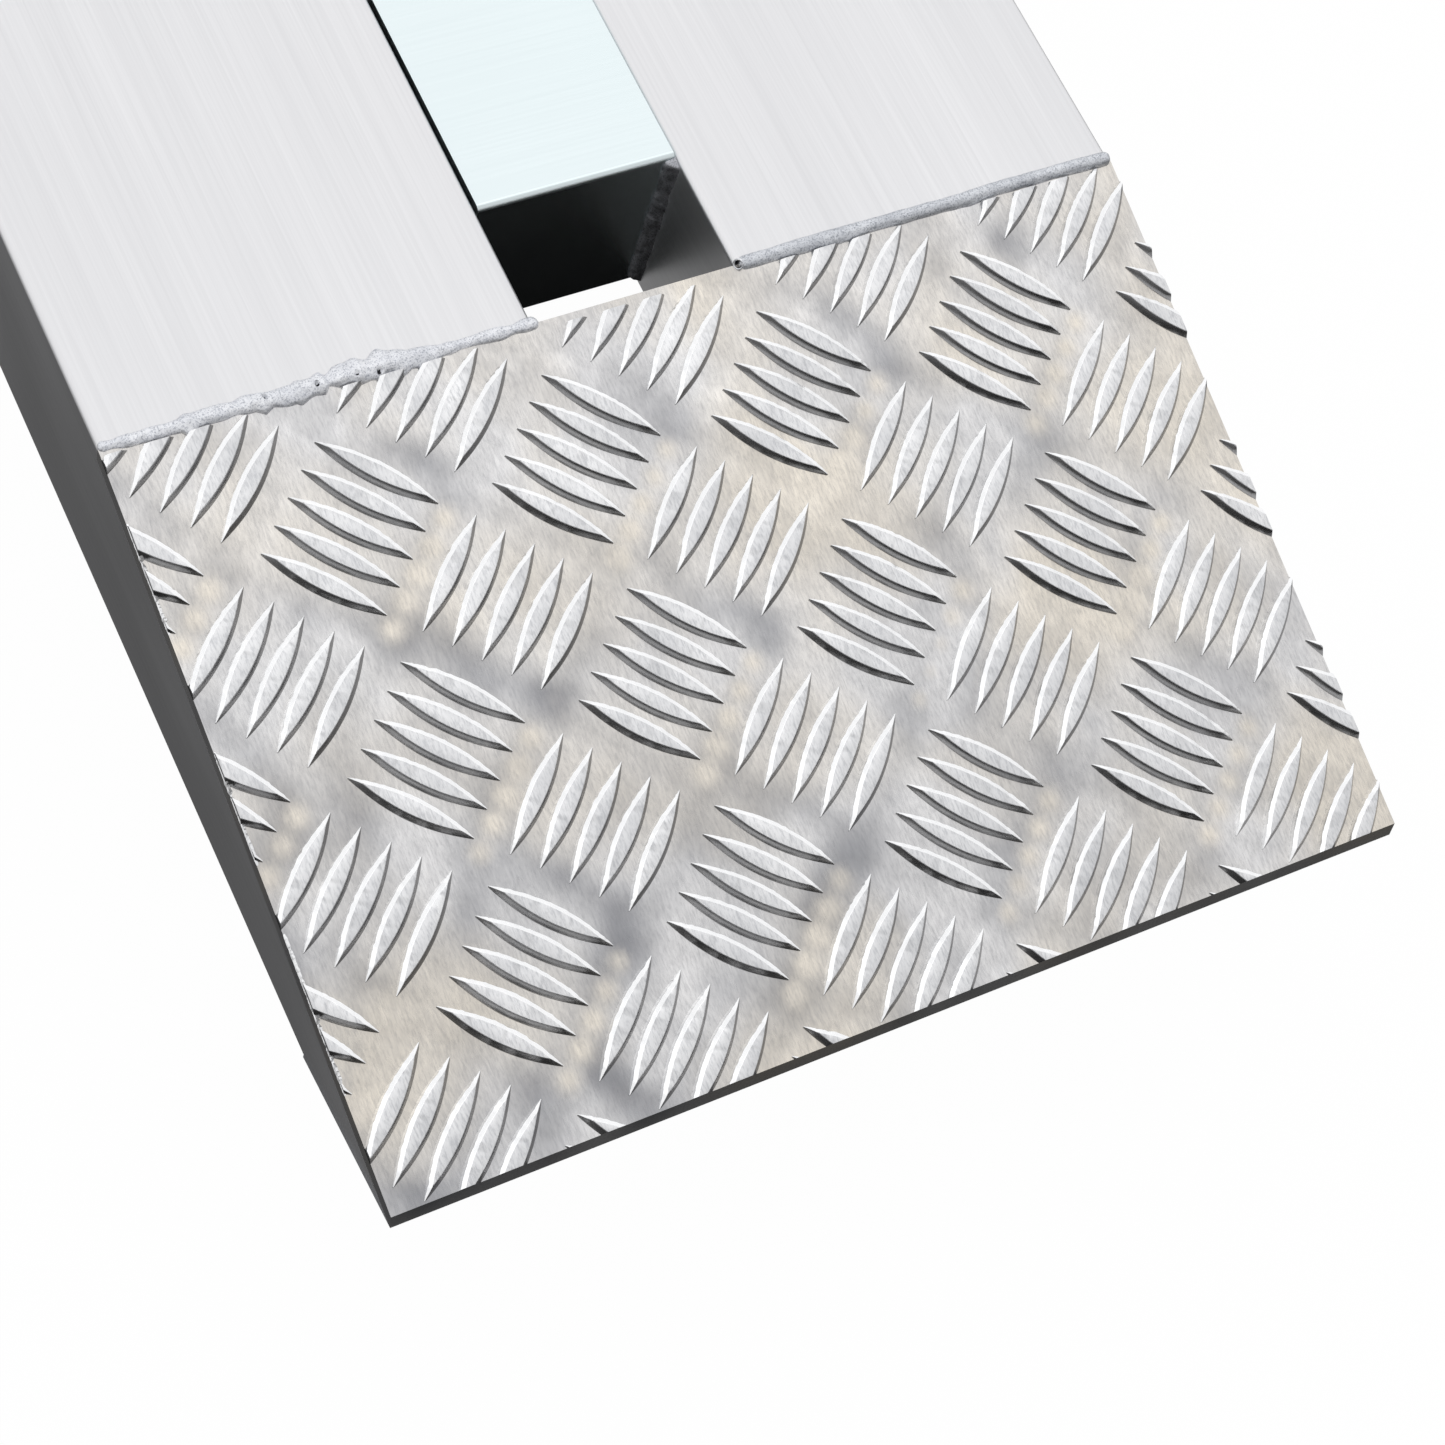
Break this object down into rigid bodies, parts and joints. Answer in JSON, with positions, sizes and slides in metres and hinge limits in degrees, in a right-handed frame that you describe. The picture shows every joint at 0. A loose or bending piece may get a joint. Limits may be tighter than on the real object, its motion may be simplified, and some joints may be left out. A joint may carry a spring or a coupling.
{
  "type": "folding loading ramp",
  "caption": "Two-section folding loading ramp: twin box rails with cross-tube rungs, a sloping tread toe, a tread lip, underside hinges and a swing latch.",
  "frame": {"origin": "middle of the ramp's width and length, on the fold line, at the height of the hinge knuckles' underside", "axes": "+X across the ramp, +Y up the ramp from toe to lip, +Z out of the driving surface, with the ramp open and level"},
  "size_m": [0.25, 2, 0.0717],
  "materials": {
    "rail_aluminium": "extruded, brushed lengthwise",
    "rung_aluminium": "extruded, brushed along the tube",
    "plate_aluminium": "mill, sawn edges",
    "tread_aluminium": "rolled five-bar tread, mottled mill finish",
    "weld_metal": "as welded",
    "zinc_steel": "zinc plated",
    "fastener_steel": "zinc plated, turned",
    "rubber": "moulded, matt"
  },
  "bodies": {
    "lower_ramp": {"lower_rail_left": "rail_aluminium", "lower_rail_right": "rail_aluminium", "lower_rung_1": "rung_aluminium", "lower_rung_2": "rung_aluminium", "lower_rung_3": "rung_aluminium", "lower_rung_4": "rung_aluminium", "toe_tread_plate": "tread_aluminium", "toe_sole_plate": "plate_aluminium", "lower_butt_plate": "plate_aluminium", "toe_plate_welds": "weld_metal", "lower_rung_welds": "weld_metal", "lower_hinge_leaf_left": "zinc_steel", "lower_hinge_leaf_right": "zinc_steel", "lower_backing_plate_left": "zinc_steel", "lower_backing_plate_right": "zinc_steel", "lower_hinge_screws": "fastener_steel", "hinge_pin_left": "fastener_steel", "hinge_pin_right": "fastener_steel", "hinge_pin_washers": "fastener_steel", "hinge_pin_nuts": "fastener_steel", "latch_pivot_stud": "fastener_steel", "latch_washer": "fastener_steel", "latch_nut": "fastener_steel"},
    "upper_ramp": {"upper_rail_left": "rail_aluminium", "upper_rail_right": "rail_aluminium", "upper_rung_1": "rung_aluminium", "upper_rung_2": "rung_aluminium", "upper_rung_3": "rung_aluminium", "upper_rung_4": "rung_aluminium", "lip_tread_plate": "tread_aluminium", "tailgate_stop_plate": "plate_aluminium", "upper_butt_plate": "plate_aluminium", "lip_plate_welds": "weld_metal", "upper_rung_welds": "weld_metal", "upper_hinge_leaf_left": "zinc_steel", "upper_hinge_leaf_right": "zinc_steel", "upper_backing_plate_left": "zinc_steel", "upper_backing_plate_right": "zinc_steel", "upper_hinge_screws": "fastener_steel", "catch_stud": "fastener_steel", "lip_pad_left": "rubber", "lip_pad_right": "rubber", "lip_pad_screws": "fastener_steel", "bumpers": "rubber", "bumper_screws": "fastener_steel"},
    "transit_latch": {"latch_hook": "zinc_steel"}
  },
  "joints": [
    {"name": "fold", "type": "hinge", "parent": "lower_ramp", "child": "upper_ramp", "pos_m": [0, 0, 0.01], "axis": [-1, 0, 0], "range_deg": [0, 180]},
    {"name": "latch_swing", "type": "hinge", "parent": "lower_ramp", "child": "transit_latch", "pos_m": [0.0215, -0.672, 0.0345], "axis": [-1, 0, 0], "range_deg": [0, 90]}
  ]
}
